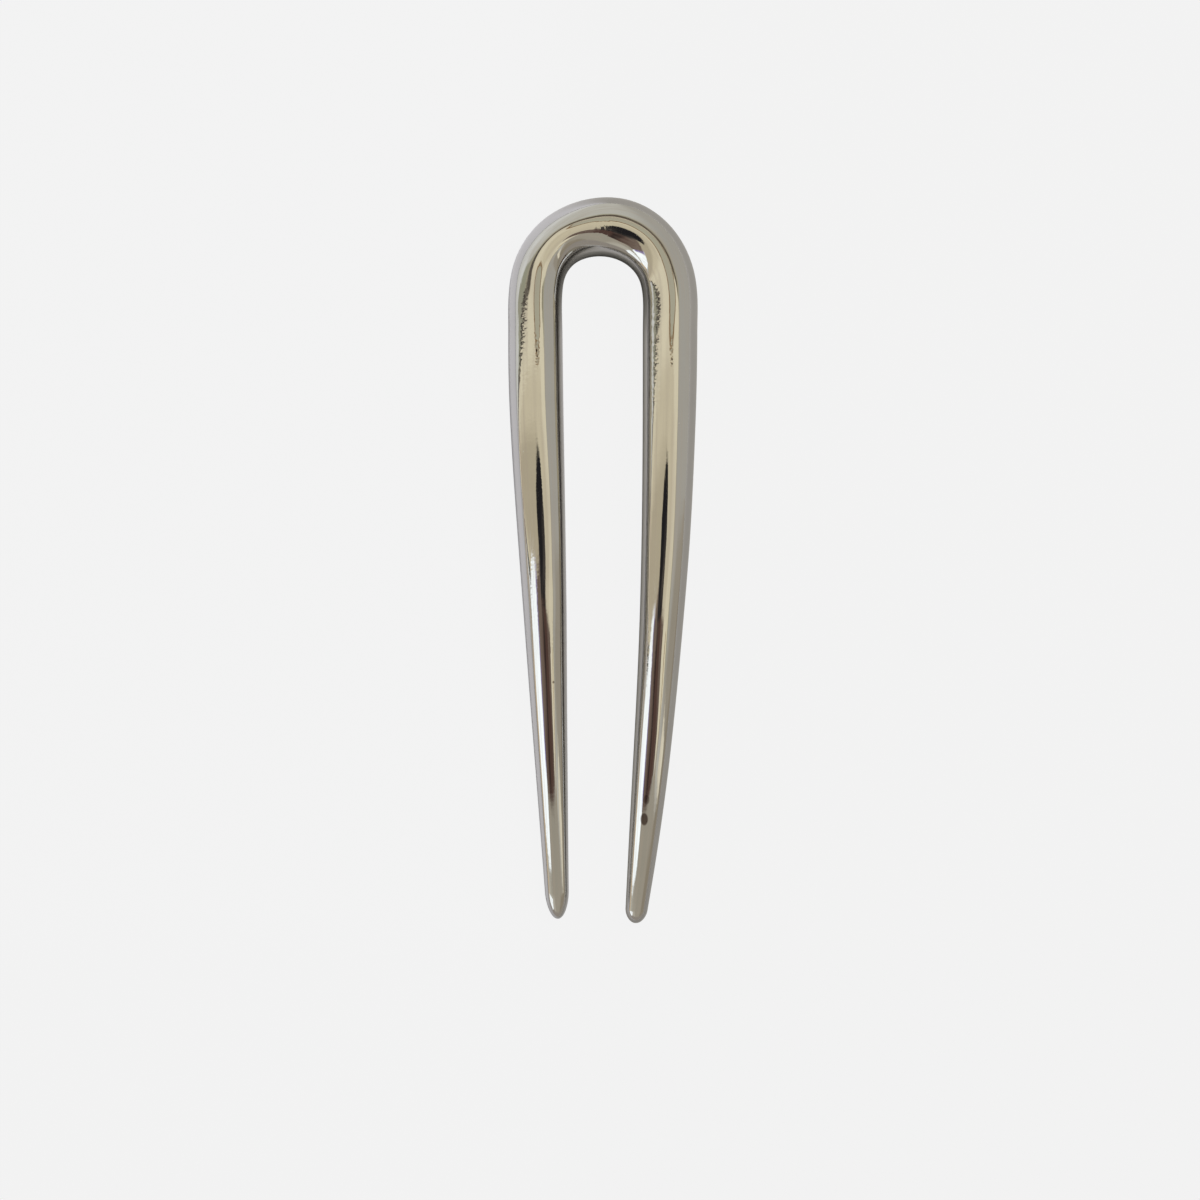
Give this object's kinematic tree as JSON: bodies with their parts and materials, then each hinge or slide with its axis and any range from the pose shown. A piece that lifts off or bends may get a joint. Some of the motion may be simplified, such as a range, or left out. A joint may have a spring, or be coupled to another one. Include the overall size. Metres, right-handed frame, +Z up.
{
  "type": "hair pin",
  "caption": "U-shaped metal hair pin: a round rod bent into a crown, with two long tapered legs and rounded tips, mirror polished in a nickel tone.",
  "frame": {"origin": "middle of the pin's footprint, on the surface that it lies on", "axes": "+X across the legs to the blunter tip's leg, +Y from the tips to the crown, +Z up from the surface"},
  "size_m": [0.026, 0.1, 0.008],
  "materials": {
    "plating": "mirror-polished nickel-tone plating on a hand-finished casting"
  },
  "bodies": {
    "root": {"pin": "plating"}
  },
  "joints": []
}
